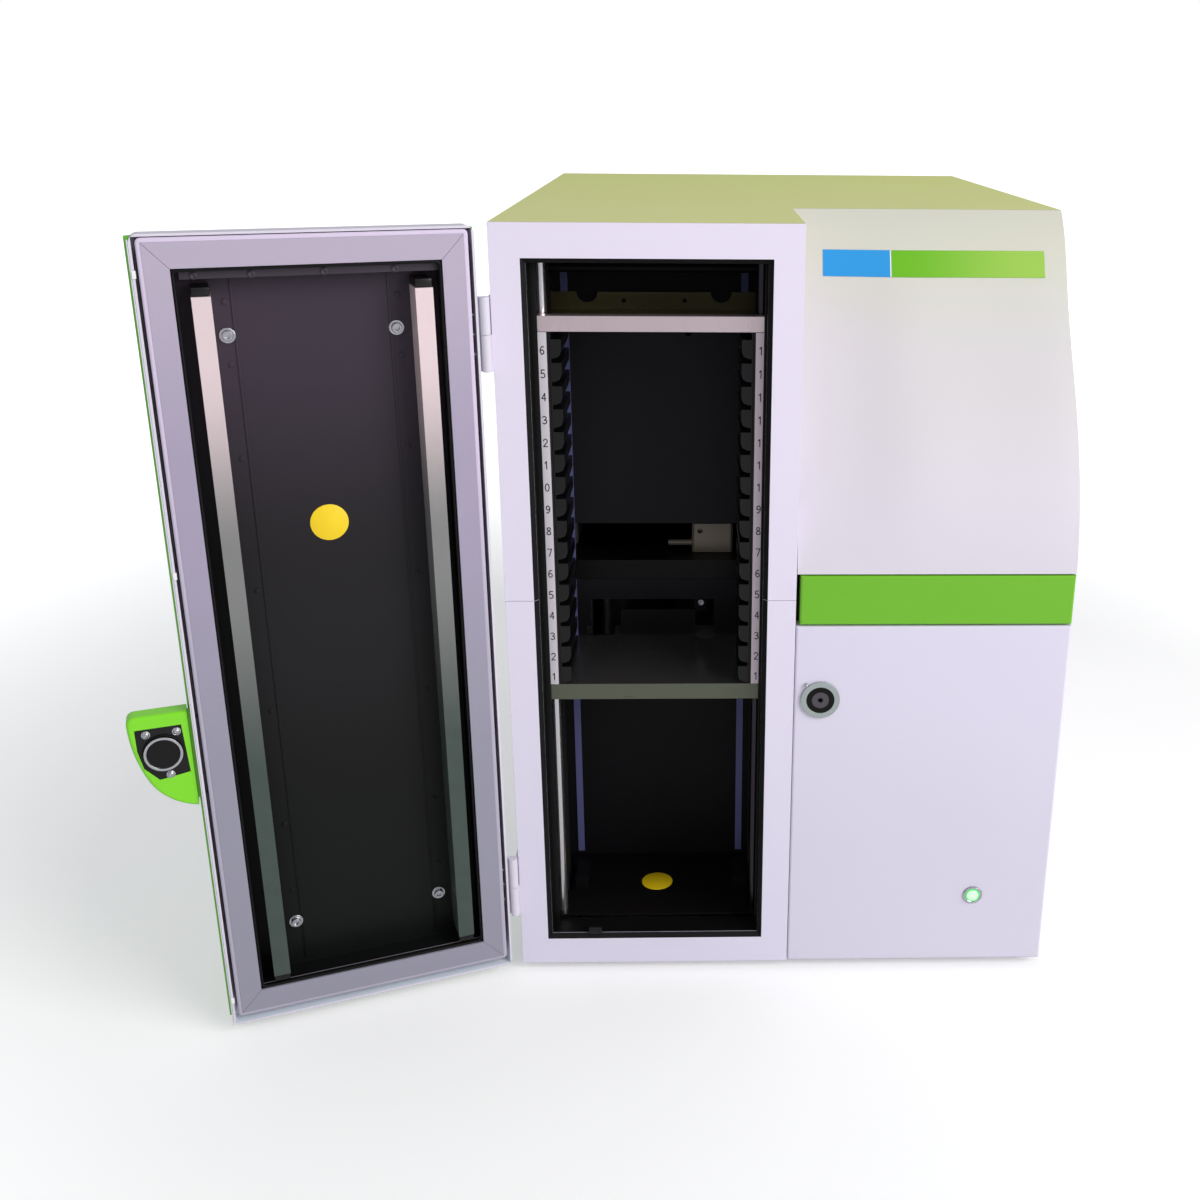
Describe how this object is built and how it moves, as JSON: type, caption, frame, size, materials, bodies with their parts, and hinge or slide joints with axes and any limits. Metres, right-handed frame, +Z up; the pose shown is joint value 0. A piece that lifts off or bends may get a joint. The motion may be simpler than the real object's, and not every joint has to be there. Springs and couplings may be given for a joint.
{
  "type": "microplate scintillation counter",
  "caption": "Bench counter with a lift magazine for plate cassettes behind a hinged door, a detector on a transfer table, and an electronics bay with a curved hood and magnet lock.",
  "frame": {"origin": "centre of the base tray's underside, 8 mm above the bench", "axes": "+X to the user's right, +Y away from the user, +Z up"},
  "size_m": [0.7996, 0.8008, 0.703],
  "materials": {
    "lavender_paint": "smooth semi-gloss paint on steel",
    "olive_paint": "smooth semi-gloss paint on steel",
    "grey_steel": "plain zinc-grey chassis steel",
    "hood_plastic": "fine-textured moulded cover",
    "green_plastic": "smooth bright green moulding",
    "black_plastic": "fine-textured black moulding",
    "black_steel": "matt black paint on sheet steel",
    "gasket_grey": "satin grey frame with mitred corners",
    "door_black": "satin black moulding",
    "strip_metal": "brushed and lightly worn",
    "bright_steel": "brushed along its length",
    "polished_steel": "ground and polished",
    "magazine_metal": "dark anodised sheet",
    "rack_plastic": "glossy black moulding",
    "blue_strip": "dull blue strip",
    "bushing_plastic": "plain sliding polymer",
    "belt_rubber": "toothed belt rubber",
    "foot_rubber": "plain black rubber",
    "cast_block": "machined and plain",
    "board_green": "glass-fibre board",
    "lit_green": "lit translucent cap",
    "latch_black": "black insert"
  },
  "bodies": {
    "cabinet": {"base_tray": "grey_steel", "rubber_feet": "foot_rubber", "left_side_panel": "lavender_paint", "right_side_panel": "lavender_paint", "tower_side_panel": "lavender_paint", "top_cover": "olive_paint", "rear_panel": "lavender_paint", "upper_bezel": "lavender_paint", "lower_bezel": "lavender_paint", "opening_trim": "black_plastic", "chassis_front_plate": "black_steel", "hood_cover": "hood_plastic", "accent_band": "green_plastic", "lower_front_panel": "hood_plastic", "stacker_liner": "black_steel", "stacker_floor": "black_steel", "rear_wall_upper": "black_steel", "rear_wall_lower": "black_steel", "transfer_shelf": "black_steel", "guide_strips": "blue_strip", "guide_columns": "polished_steel", "magnet_lock_housing": "bright_steel", "magnet_lock_insulator": "black_plastic", "magnet_lock_core": "bright_steel", "cabinet_hinge_leaves": "lavender_paint", "lift_belts": "belt_rubber", "bearing_brackets": "cast_block", "lift_motor": "black_steel", "detector_base": "cast_block", "detector_head": "cast_block", "photomultiplier_tubes": "bright_steel", "carriage_rail": "polished_steel", "power_supply": "grey_steel", "circuit_boards": "board_green", "fan_housing": "black_plastic", "power_inlet": "black_plastic"},
    "magazine": {"magazine_top_bar": "bright_steel", "magazine_top_plate": "magazine_metal", "magazine_tray": "magazine_metal", "magazine_side_plates": "magazine_metal", "rack_left": "rack_plastic", "rack_right": "rack_plastic", "guide_bushings": "bushing_plastic"},
    "door": {"door_shell": "door_black", "door_outer_panel": "green_plastic", "door_handle": "green_plastic", "gasket_frame": "gasket_grey", "pusher_strips": "strip_metal", "top_clamp_strip": "strip_metal", "latch_plate": "latch_black", "latch_armature": "polished_steel", "door_hinge_leaves": "lavender_paint"},
    "drive_shaft": {"drive_shaft": "polished_steel"},
    "idler_shaft": {"idler_shaft": "polished_steel"},
    "plate_carriage": {"plate_carriage": "cast_block"},
    "door_sensor_pin": {"door_sensor_pin": "polished_steel"},
    "power_button": {"power_button": "lit_green"},
    "fan_rotor": {"fan_rotor": "black_plastic"},
    "mains_switch": {"mains_switch": "black_plastic"}
  },
  "joints": [
    {"name": "door_hinge", "type": "hinge", "parent": "cabinet", "child": "door", "pos_m": [-0.2545, -0.348, 0.346], "axis": [0, 0, 1], "range_deg": [-15, 160]},
    {"name": "magazine_lift", "type": "slide", "parent": "cabinet", "child": "magazine", "axis": [0, 0, 1], "range_m": [-0.215, 0.03]},
    {"name": "drive_shaft_spin", "type": "hinge", "parent": "cabinet", "child": "drive_shaft", "pos_m": [-0.121, -0.263, 0.022], "axis": [1, 0, 0], "range_deg": [-180, 1275]},
    {"name": "idler_shaft_spin", "type": "hinge", "parent": "cabinet", "child": "idler_shaft", "pos_m": [-0.121, -0.263, 0.65], "axis": [1, 0, 0], "range_deg": [-180, 1275]},
    {"name": "carriage_slide", "type": "slide", "parent": "cabinet", "child": "plate_carriage", "axis": [0, -1, 0], "range_m": [0, 0.1]},
    {"name": "sensor_pin_press", "type": "slide", "parent": "cabinet", "child": "door_sensor_pin", "axis": [0, 1, 0], "range_m": [0, 0.003], "stiffness_N_per_m": 200, "springref_m": -0.001},
    {"name": "power_button_press", "type": "slide", "parent": "cabinet", "child": "power_button", "axis": [0, 1, 0], "range_m": [0, 0.0025], "stiffness_N_per_m": 400, "springref_m": -0.001},
    {"name": "fan_spin", "type": "hinge", "parent": "cabinet", "child": "fan_rotor", "pos_m": [0.11, 0.33, 0.56], "axis": [0, 1, 0], "continuous": true},
    {"name": "mains_switch_rock", "type": "hinge", "parent": "cabinet", "child": "mains_switch", "pos_m": [0.19, 0.3425, 0.106], "axis": [1, 0, 0], "range_deg": [0, 20]}
  ],
  "couplings": [
    {"joint": "drive_shaft_spin", "follows": "magazine_lift", "rad_per_m": -103.09},
    {"joint": "idler_shaft_spin", "follows": "magazine_lift", "rad_per_m": -103.09}
  ]
}
